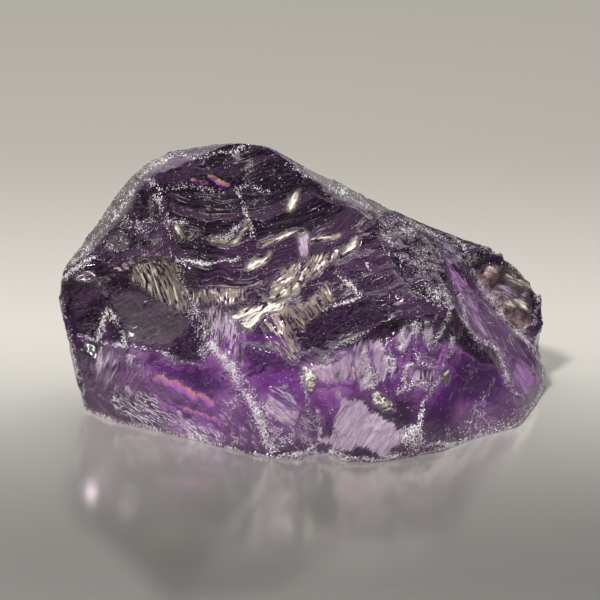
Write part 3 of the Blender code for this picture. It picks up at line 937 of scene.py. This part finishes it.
        # How much of each coat shows
        specks = (draw * 6.0 - away * 2.0 + clump_sway * 2.2).step(*self.speck_edge)
        specks = specks * (relief * 4.5).at_most(self.speck_cover)
        crushed = crush * 1.15 + draw_sway * 1.5 - away * 0.8 + grit_sway * 1.5
        crushed = (crushed + clump_sway * 1.6).step(*self.crush_edge)
        crushed = crushed * crush.step(0.02, 0.2) * (0.5 + grit * 0.6)
        # hackles with painted highlights
        highlit_hackles = 0.2 + cream * 0.66 + streak_sway * 1.5
        highlit_hackles = highlit_hackles + hair_sway * 0.6 + sliver_sway * 0.9
        highlit_hackles = highlit_hackles.step(*self.cream_edge) * cream.step(0.02, 0.25)
        veiled = (veil + streak_sway * 0.9 + hair_sway * 0.7).step(*self.veil_edge)
        veiled = veiled * veil.step(0.02, 0.3) * self.veil_cover
        wired = (hair * 0.9 + clump_sway * 1.4 + streak_sway).step(*self.hair_edge)
        wired = wires * wired * self.hair_cover
        wired = wired.at_least(wires * (veil * 0.25).at_least(smoke * 0.035))
        # painted highlights: sparse small glints, more of them in the painted shade
        glint_flecks = bench.noise(grain, self.fleck_scale, Detail=2.0).step(*self.fleck_edge)
        glint_flecks = glint_flecks * (smoke * 0.5 + 0.2)
        rusted = rust * 0.55 + clump_sway * 1.1 + grit_sway * 0.7
        rusted = rusted.step(*self.rust_edge) * rust.step(0.02, 0.3) * self.rust_cover
        # painted reflection: the rainbow, broken by streaks
        rainbow_shown = fire * 1.1 + streak_sway * 2.0 + grit_sway * 1.3
        rainbow_shown = rainbow_shown.step(*self.fire_edge) * self.fire_cover
        # painted highlights: thin bright lines along the plates' edges, in the painted shade
        ledge_glints = Number(bench, ledges.outputs["Distance"]) * self.ledge_sharpness
        ledge_glints = (1.0 - ledge_glints).at_least(0.0)
        ledge_glints = ledge_glints * (clumps * 1.8 + grit * 0.8 - 1.1).step(*self.ledge_edge)
        ledge_glints = ledge_glints * smoke * (relief * 2.4).at_most(self.ledge_cover)
        # painted reflection: the grey sheen, laid as frost
        sheen_shown = mist * 1.1 + clump_sway * 0.7 + hair_sway * 0.7
        sheen_shown = sheen_shown.step(*self.mist_edge) * mist.step(0.02, 0.3) * self.mist_cover
        # painted shade: how far the glass darkens, with some noise
        shaded = (smoke * (1.1 + clump_sway * 0.9 + streak_sway * 0.7)).at_most(1.0)
        pale = crushed.at_least(highlit_hackles * self.cream_cover)
        for coat in (veiled, rusted, wired, glint_flecks, rainbow_shown, specks, ledge_glints):
            pale = pale.at_least(coat)
        frosted = pale.at_least(sheen_shown)

        # The frost's colour, with the painted highlights and shaded gaps of the hackles
        milk = bench.blend((hairs * 0.6 + grit * 0.4).step(0.36, 0.62), self.lilac, self.veil)
        colour = bench.blend((veiled * 1.8 - wired).step(0.0, 0.5), self.dust, milk)
        brown = bench.blend((clumps * 0.7 + streaks * 0.3).step(0.45, 0.6), self.dark, self.rust)
        colour = bench.blend((rusted * 1.5).step(0.0, 0.5), colour, brown)
        colour = bench.blend((sheen_shown * 1.6 - pale).step(0.0, 0.4), colour, self.mist)
        colour = bench.blend((crushed * 1.6).step(0.1, 0.6), colour, self.dust)
        # painted light and shade within the hackles: dark gaps, dull mid tones and cream highlights
        tone = hairs * 0.6 + sliver * 0.9 + cream
        shade = bench.blend(tone.step(1.16, 1.32), self.dark, self.dull)
        shade = bench.blend(tone.step(1.54, 1.74), shade, self.cream)
        colour = bench.blend(highlit_hackles, colour, shade)
        rainbow = bench.node("ShaderNodeValToRGB", {"stops": self.fire}, {0: hue})
        colour = bench.blend(fire.step(0.01, 0.08), colour, rainbow.outputs[0])

        # The clear body, the dark core, painted shade that stands for depth without light, and the
        # frost with its painted highlights
        height = (streaks * 0.8 + hairs * 0.3 + plate * 0.5) * relief
        height = height + grit * crush * 0.5 + clumps * 0.25
        heights = {"Strength": 1.0, "Distance": self.bump_depth, "Height": height}
        bump = bench.node("ShaderNodeBump", {}, heights).outputs[0]
        gloss = self.polish + clumps * 0.05
        # the glass's tint, darkened by the painted shade and turned deeper violet by the deep marks
        tint = bench.blend(shaded, bench.blend(deep, self.clear, self.deep), self.smoke)
        glass = {"Base Color": tint, "Transmission Weight": 1.0, "Roughness": gloss, "Normal": bump}
        # painted shade: the dark core, lighter or darker from plate to plate
        night = bench.blend((plate - deep * 0.5).step(0.42, 0.72), self.dusk, self.haze)
        core = {
            "Base Color": bench.blend(shaded, self.violet, night),
            "Roughness": gloss,
            "Specular Tint": (*self.glint, 1.0),
            "Normal": bump,
        }
        frost = {
            "Base Color": colour,
            "Metallic": highlit_hackles * 0.35,
            "Roughness": 0.38 + grit * 0.3 - rusted * 0.3,
            "Normal": bump,
        }
        # painted shade: the dark core replaces the glass under the painted shade, and half of it
        # under the deep marks
        held = (shaded * self.shade_held).at_least(deep * self.deep_held)
        sides = {0: held, 1: self.shader(bench, glass), 2: self.shader(bench, core)}
        body = bench.node("ShaderNodeMixShader", {}, sides).outputs[0]
        layers = {0: frosted, 1: body, 2: self.shader(bench, frost)}
        skin = bench.node("ShaderNodeMixShader", {}, layers)
        inner = {"Color": (*self.absorbed, 1.0), "Density": self.density}
        depth = bench.node("ShaderNodeVolumeAbsorption", {}, inner)
        return bench.finish(skin, Volume=depth.outputs[0])


@dataclass(frozen=True)
class ReliefDepth:
    """How deep each unevenness of the breaks is cut, and how the grain stretches it."""

    ripple: float = 0.05
    ripple_stretch: tuple = (1.0, 0.55, 0.55)
    fold: float = 0.06
    fold_stretch: tuple = (1.0, 0.3, 0.3)
    swell: float = 0.12
    chip: float = 0.45
    flake: float = 0.7
    flake_least: float = 0.12
    flake_stretch: tuple = (1.0, 0.8, 0.8)
    knob: float = 2.6
    knob_start: float = 0.6
    broad_least: float = 0.4
    above_floor: tuple = (0.05, 0.9)


@dataclass(frozen=True)
class Wear:
    """How far the coats cover the sides that no mark reaches, and how worn ridges and rim are.

    A pair says at which height of their lumps a coat starts and is full.
    """

    cuts: tuple = (0.5, 0.8)
    cut_cover: float = 0.75
    cut_gather: float = 0.7
    veils: tuple = (0.15, 0.6)
    veil_cover: float = 0.55
    hairs: tuple = (0.1, 0.5)
    hair_cover: float = 0.5
    patches: tuple = (0.0, 0.4)
    patch_cover: float = 0.5
    # painted shade: the heights at which the hidden sides start and end darkening towards the top
    dark_top: tuple = (7.0, 12.0)
    dark_waver: float = 2.0
    relief: float = 0.3
    ridge_shown: float = 0.14
    ridge_least: float = 0.6
    ridge_gaps: tuple = (-0.3, 0.3)
    rim: tuple = (-0.55, -0.1)
    rim_cover: float = 0.8


@dataclass
class Skin:
    """What each point of the stone carries: its coats, its relief and the grain of its break.

    Places and normals have one row to a point, and ridge says how near it is to a sharp ridge.
    """

    places: np.ndarray
    normals: np.ndarray
    ridge: np.ndarray
    view: View = View()
    smooth_relief: float = 0.14
    first_run: float = 18.0
    least_claim: float = 0.1
    edge_rag: float = 0.22
    ring_rag: float = 0.32
    mark_margin: float = 1.2
    streak_scale: tuple = (0.24, 1.8, 0.9)
    ring_scale: tuple = (1.6, 1.8)
    relief_depth: ReliefDepth = ReliefDepth()
    wear: Wear = Wear()

    def __post_init__(self) -> None:
        """Finds where each point shows, and starts with no coats."""
        count = len(self.places)
        self.flat, self.depth = self.view.flatten(self.places)
        self.faced = self.view.faced(self.places, self.normals)
        rags = [Lumps.RAG_ACROSS.at(self.places), Lumps.RAG_UP.at(self.places)]
        self.ragged = np.stack(rags, axis=1)
        self.torn = self.flat + self.edge_rag * self.ragged
        self.coats = {coat: np.zeros(count) for coat in Coat}
        self.relief = np.full(count, self.smooth_relief)
        self.sunk = np.zeros(count)
        self.hue = np.zeros(count)
        self.claimed = np.full(count, self.least_claim)
        self.grain = self.streaked(np.arange(count), self.first_run)

    def streaked(self, taken: np.ndarray, run: float) -> np.ndarray:
        """Coordinates that stretch a pattern into streaks along one way.

        Args:
            taken: which points.
            run: the angle of the streaks above the right, in degrees.

        Returns:
            The coordinates, long units first.
        """
        turn = math.radians(run)
        view = self.flat[taken]
        along = view @ np.array([math.cos(turn), math.sin(turn)])
        across = view @ np.array([-math.sin(turn), math.cos(turn)])
        ways = np.stack([along, across, self.depth[taken]], axis=1)
        return ways * np.array(self.streak_scale)

    def ringed(self, taken: np.ndarray, about: tuple) -> np.ndarray:
        """Coordinates that bend a pattern into wavering rings.

        Args:
            taken: which points.
            about: the rings' middle, in tenths of a millimetre.

        Returns:
            The coordinates, round the rings first.
        """
        away = self.flat[taken] + self.ring_rag * self.ragged[taken] - np.array(about) / TENTHS
        round_scale, reach_scale = self.ring_scale
        reach = np.hypot(*away.T)
        turn = np.arctan2(away[:, 1], away[:, 0])
        return np.stack([turn * round_scale, reach * reach_scale, np.zeros(len(away))], axis=1)

    def lay(self, mark: Mark) -> None:
        """Lays one mark on the points that show it.

        Args:
            mark: the mark.
        """
        corners = mark.corners()
        low, high = corners.min(axis=0) - self.mark_margin, corners.max(axis=0) + self.mark_margin
        close = np.all((self.torn > low) & (self.torn < high), axis=1)
        picked = np.flatnonzero(close & (self.faced > 0.0))
        if not len(picked):
            log.info("mark %s lies off the stone", mark.name)
            return
        spots = self.torn[picked]
        cover = mark.cover(spots) * self.faced[picked]
        coat = self.coats[mark.coat]
        coat[picked] = np.maximum(coat[picked], cover)
        self.relief[picked] += (mark.relief - self.relief[picked]) * np.clip(cover, 0.0, 1.0)
        self.sunk[picked] = np.maximum(self.sunk[picked], cover * mark.sink)
        if mark.coat is Coat.FIRE:
            self.hue[picked] = np.where(cover > 0.0, mark.hue(spots), self.hue[picked])
        claim = cover * mark.coat.claim()
        ahead = claim > self.claimed[picked]
        taken = picked[ahead]
        self.claimed[taken] = claim[ahead]
        if mark.about:
            self.grain[taken] = self.ringed(taken, mark.about)
        else:
            self.grain[taken] = self.streaked(taken, mark.run)

    def age(self) -> None:
        """Covers what the camera doesn't see with hackles, painted highlights, veils, hairs and
        painted shade, and wears the ridges and the rim at the floor.
        """
        wear, hidden, height = self.wear, 1.0 - self.faced, self.places[:, 2]
        wide = Lumps.WIDE.at(self.places)
        veils = Lumps.VEILS.at(self.places)
        cuts = smooth_rise(Lumps.CUTS.at(self.places) + wear.cut_gather * wide, *wear.cuts)
        # hackles with painted highlights on the sides the camera doesn't see
        self.coats[Coat.CREAM] += hidden * cuts * wear.cut_cover
        self.coats[Coat.VEIL] += hidden * smooth_rise(veils, *wear.veils) * wear.veil_cover
        self.coats[Coat.HAIR] += hidden * smooth_rise(-veils, *wear.hairs) * wear.hair_cover
        # painted shade: the hidden sides darken towards the top and in patches
        top = smooth_rise(height + wear.dark_waver * wide, *wear.dark_top)
        patches = smooth_rise(Lumps.PATCHES.at(self.places), *wear.patches) * wear.patch_cover
        self.coats[Coat.SMOKE] += hidden * np.maximum(top, patches)
        self.relief += hidden * wear.relief
        shown = wear.ridge_shown + (1.0 - wear.ridge_shown) * hidden
        gaps = wear.ridge_least + wear.ridge_least * smooth_rise(wide, *wear.ridge_gaps)
        rim = self.faced * smooth_rise(-height, *wear.rim) * wear.rim_cover
        for dusty in (self.ridge * shown * gaps, rim):
            self.coats[Coat.CRUSH] = np.maximum(self.coats[Coat.CRUSH], dusty)

    def inward(self) -> np.ndarray:
        """How deep the breaks' relief is cut at each point.

        Returns:
            The depths, below 0 where the stone stands out, and 0 on the floor.
        """
        cut = self.relief_depth
        ripple = Lumps.RIPPLE.at(self.grain * np.array(cut.ripple_stretch))
        fold = 1.0 - np.abs(Lumps.FOLD.at(self.grain * np.array(cut.fold_stretch))) * 2.0
        chips = np.clip(Lumps.CHIPS.at(self.places), 0.0, 1.0)
        flakes = Flakes.ALONG_GRAIN.at(self.grain * np.array(cut.flake_stretch))
        knobs = np.clip(self.relief - cut.knob_start, 0.0, 1.0)
        deep = self.sunk + self.relief * (cut.ripple * ripple + cut.fold * fold)
        deep += cut.swell * Lumps.SWELL.at(self.places)
        deep += cut.chip * chips * np.clip(self.coats[Coat.CRUSH] * 1.3, 0.0, 1.0)
        deep += flakes * (cut.flake_least + self.relief * cut.flake)
        deep += knobs * Lumps.KNOBS.at(self.places) * cut.knob
        deep += Flakes.BROAD.at(self.places) * (cut.broad_least + self.relief)
        return deep * smooth_rise(self.places[:, 2], *cut.above_floor)


@dataclass
class Stone:
    """The amethyst: the solid remeshed finely, with the marks of its breaks and its painted shade,
    highlights and reflections.
    """

    voxel: float = 0.225
    weld: float = 0.001
    ridge_angle: float = 24.0
    sharpest_angle: float = 60.0
    ridge_step: float = 0.2
    ridge_reach: float = 0.8
    calm_below: float = 0.4
    calm_fall: float = 2.4
    calm_share: float = 0.6
    calm_rounds: int = 14
    piece: bpy.types.Object | None = None

    def build(self) -> bpy.types.Object:
        """Makes the stone.

        Returns:
            The finished piece.
        """
        self.copy_solid()
        edges = self.sharp_points()
        self.remesh()
        self.smooth(edges)
        self.dress(edges)
        bpy.ops.object.shade_smooth()
        return self.piece

    def copy_solid(self) -> None:
        """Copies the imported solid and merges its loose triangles."""
        bpy.ops.object.select_all(action="DESELECT")
        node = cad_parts[NODE]
        self.piece = node.copy()
        self.piece.data = node.data.copy()
        self.piece.name = "stone"
        self.piece.data.name = "stone"
        for key in list(self.piece.keys()):
            del self.piece[key]
        bpy.context.scene.collection.objects.link(self.piece)
        self.piece.parent = None
        self.piece.select_set(True)
        bpy.context.view_layer.objects.active = self.piece
        bpy.ops.object.mode_set(mode="EDIT")
        bpy.ops.mesh.select_all(action="SELECT")
        bpy.ops.mesh.remove_doubles(threshold=self.weld * MM)
        bpy.ops.object.mode_set(mode="OBJECT")

    def sharp_points(self) -> list:
        """Points along every sharp ridge of the solid.

        Returns:
            Pairs of a point and how sharp the ridge is there, from 0 to 1.
        """
        shape = bmesh.new()
        shape.from_mesh(self.piece.data)
        found = []
        for edge in shape.edges:
            if len(edge.link_faces) != 2:
                continue
            angle = math.degrees(edge.calc_face_angle_signed(0.0))
            if angle < self.ridge_angle:
                continue
            a, b = edge.verts[0].co, edge.verts[1].co
            steps = max(1, math.ceil((a - b).length / (self.ridge_step * MM)))
            sharp = min(1.0, angle / self.sharpest_angle)
            found += [(a.lerp(b, i / steps), sharp) for i in range(steps + 1)]
        shape.free()
        return found

    def remesh(self) -> None:
        """Turns the solid into an even fine mesh."""
        even = self.piece.modifiers.new("even", "REMESH")
        even.mode = "VOXEL"
        even.voxel_size = self.voxel * MM
        bpy.ops.object.modifier_apply(modifier=even.name)

    def ridges(self, places: np.ndarray, edges: list) -> np.ndarray:
        """How near each place is to a sharp ridge.

        Args:
            places: points on the stone.
            edges: the points along the ridges, with their sharpness.

        Returns:
            From 0 away from them to 1 on a sharp one.
        """
        tree = kdtree.KDTree(len(edges))
        for index, (point, _) in enumerate(edges):
            tree.insert(point / MM, index)
        tree.balance()
        near = np.zeros(len(places))
        for index, place in enumerate(places):
            _, found, gap = tree.find(place)
            near[index] = max(0.0, 1.0 - gap / self.ridge_reach) * edges[found][1]
        return near

    def places(self) -> np.ndarray:
        """Reads the mesh's points.

        Returns:
            Their places, one to a row.
        """
        co = np.empty(len(self.piece.data.vertices) * 3)
        self.piece.data.vertices.foreach_get("co", co)
        return co.reshape(-1, 3) / MM

    def normals(self) -> np.ndarray:
        """Reads the mesh's outward directions.

        Returns:
            The direction at each point, one to a row.
        """
        out = np.empty(len(self.piece.data.vertices) * 3)
        self.piece.data.vertex_normals.foreach_get("vector", out)
        return out.reshape(-1, 3)

    def smooth(self, edges: list) -> None:
        """Takes the steps of the remeshing out of the breaks and leaves the ridges.

        Args:
            edges: the points along the ridges, with their sharpness.
        """
        sharp = self.ridges(self.places(), edges)
        calm = self.piece.vertex_groups.new(name="calm")
        for index in np.flatnonzero(sharp < self.calm_below):
            calm.add([int(index)], 1.0 - self.calm_fall * float(sharp[index]), "REPLACE")
        even = self.piece.modifiers.new("calm", "SMOOTH")
        even.factor = self.calm_share
        even.iterations = self.calm_rounds
        even.vertex_group = "calm"
        bpy.ops.object.modifier_apply(modifier=even.name)
        self.piece.vertex_groups.clear()

    def dress(self, edges: list) -> None:
        """Cuts the relief of the breaks and paints what the finish reads.

        Args:
            edges: the points along the ridges, with their sharpness.
        """
        places, normals = self.places(), self.normals()
        skin = Skin(places, normals, self.ridges(places, edges))
        for mark in MARKS:
            skin.lay(mark)
        skin.age()
        moved = places - normals * skin.inward()[:, None]
        self.piece.data.vertices.foreach_set("co", (moved * MM).astype(np.float32).ravel())
        self.piece.data.update()
        for coat, values in skin.coats.items():
            self.store(coat.value, np.clip(values, 0.0, 1.0))
        self.store("hue", skin.hue)
        self.store("relief", np.clip(skin.relief, 0.0, 1.0))
        layer = self.piece.data.attributes.new("grain", "FLOAT_VECTOR", "POINT")
        layer.data.foreach_set("vector", skin.grain.astype(np.float32).ravel())

    def store(self, name: str, values: np.ndarray) -> None:
        """Keeps one painted number on each of the mesh's points.

        Args:
            name: what the finish calls it.
            values: the number on each point.
        """
        layer = self.piece.data.attributes.new(name, "FLOAT", "POINT")
        layer.data.foreach_set("value", values.astype(np.float32))


@dataclass(frozen=True)
class SatinFinish:
    """The pale satin sheet, which is darker and glossier in front of the stone than behind it. The
    darkness in front is painted shade.
    """

    behind: tuple = (0.63, 0.61, 0.56)
    beside: tuple = (0.92, 0.90, 0.85)
    # painted shade: the sheet's colour in front of the stone
    front: tuple = (0.165, 0.162, 0.155)
    metallic: float = 0.4
    roughness: float = 0.19
    ior: float = 1.4

    def make(self) -> bpy.types.Material:
        """Builds the material.

        Returns:
            The finished material.
        """
        bench = Bench("pale_satin")
        apart = bench.node("ShaderNodeSeparateXYZ", {}, {0: bench.place()})
        ahead = Number(bench, apart.outputs["Y"])
        # painted shade: the front colour fills a band in front of the stone
        within = ahead.step(-0.45, -0.1)
        clear = ahead.step(-0.05, 0.025).at_least(1.0 - within)
        near = (1.0 - ahead.step(-0.03, 0.02)) * within
        pale = bench.blend(ahead.step(0.0, 0.09), self.beside, self.behind)
        shader = bench.node(
            "ShaderNodeBsdfPrincipled",
            {},
            {
                "Base Color": bench.blend(clear, self.front, pale),
                "Metallic": self.metallic + near * 0.25,
                "Roughness": self.roughness - near * 0.03,
                "IOR": self.ior,
            },
        )
        return bench.finish(shader)


@dataclass(frozen=True)
class SoftBox:
    """A soft light: where it hangs, its width and height, its watts and its colour."""

    name: str
    place: tuple
    size: tuple
    power: float
    colour: tuple

    def hang(self, aim: tuple) -> None:
        """Hangs the box so that it faces a point.

        Args:
            aim: the point.
        """
        data = bpy.data.lights.new(self.name, "AREA")
        data.shape = "RECTANGLE"
        data.size, data.size_y = (side * MM for side in self.size)
        data.energy = self.power
        data.color = self.colour
        box = bpy.data.objects.new(self.name, data)
        box.location = Vector(self.place) * MM
        way = Vector(aim) - Vector(self.place)
        box.rotation_euler = way.to_track_quat("-Z", "Y").to_euler()
        bpy.context.scene.collection.objects.link(box)


@dataclass
class Studio:
    """The camera, the soft lights and the sheet that the stone lies on."""

    view: View = View()
    lens: float = 150.0
    sensor: float = 36.0
    nearest: float = 0.01
    farthest: float = 20.0
    sheet_size: float = 6.0
    aim: tuple = (0.0, 0.0, 10.0)
    room: tuple = (0.95, 0.92, 0.92)
    room_strength: float = 0.17
    boxes: tuple = (
        SoftBox("back box", (20.0, 230.0, 300.0), (720.0, 300.0), 1.5, (1.0, 0.98, 0.94)),
        SoftBox("key", (-110.0, -150.0, 300.0), (50.0, 50.0), 1.15, (1.0, 0.98, 0.95)),
    )

    def camera(self) -> None:
        """Stands the camera at the photograph's place."""
        data = bpy.data.cameras.new("camera")
        data.lens = self.lens
        data.sensor_width = self.sensor
        data.clip_start = self.nearest
        data.clip_end = self.farthest
        back = Vector(self.view.back())
        stand = bpy.data.objects.new("camera", data)
        stand.location = (Vector(self.view.target) + back * self.view.distance) * MM
        stand.rotation_euler = (-back).to_track_quat("-Z", "Y").to_euler()
        bpy.context.scene.collection.objects.link(stand)
        bpy.context.scene.camera = stand

    def world(self) -> None:
        """Lights the room evenly and softly."""
        world = bpy.data.worlds.new("room")
        world.use_nodes = True
        wall = world.node_tree.nodes["Background"]
        wall.inputs["Color"].default_value = (*self.room, 1.0)
        wall.inputs["Strength"].default_value = self.room_strength
        bpy.context.scene.world = world

    def sheet(self) -> None:
        """Lays the sheet."""
        bpy.ops.object.select_all(action="DESELECT")
        bpy.ops.mesh.primitive_plane_add(size=self.sheet_size, location=(0.0, 0.0, 0.0))
        floor = bpy.context.active_object
        floor.name = "sheet"
        floor.data.materials.append(SatinFinish().make())

    def build(self) -> None:
        """Sets everything up."""
        self.camera()
        self.world()
        self.sheet()
        for box in self.boxes:
            box.hang(self.aim)


def main() -> None:
    """Builds the scene and reports each piece."""
    logging.basicConfig(level=logging.INFO, format="%(name)s: %(message)s")
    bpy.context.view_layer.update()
    stone = Stone().build()
    stone.data.materials.clear()
    stone.data.materials.append(QuartzFinish().make())
    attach(stone, "root")
    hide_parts(NODE)
    log.info("stone: %d faces", len(stone.data.polygons))
    Studio().build()
    log.info("studio: camera, two soft boxes and the sheet")
    bpy.context.scene.view_settings.view_transform = "Standard"


if __name__ == "__main__":
    main()
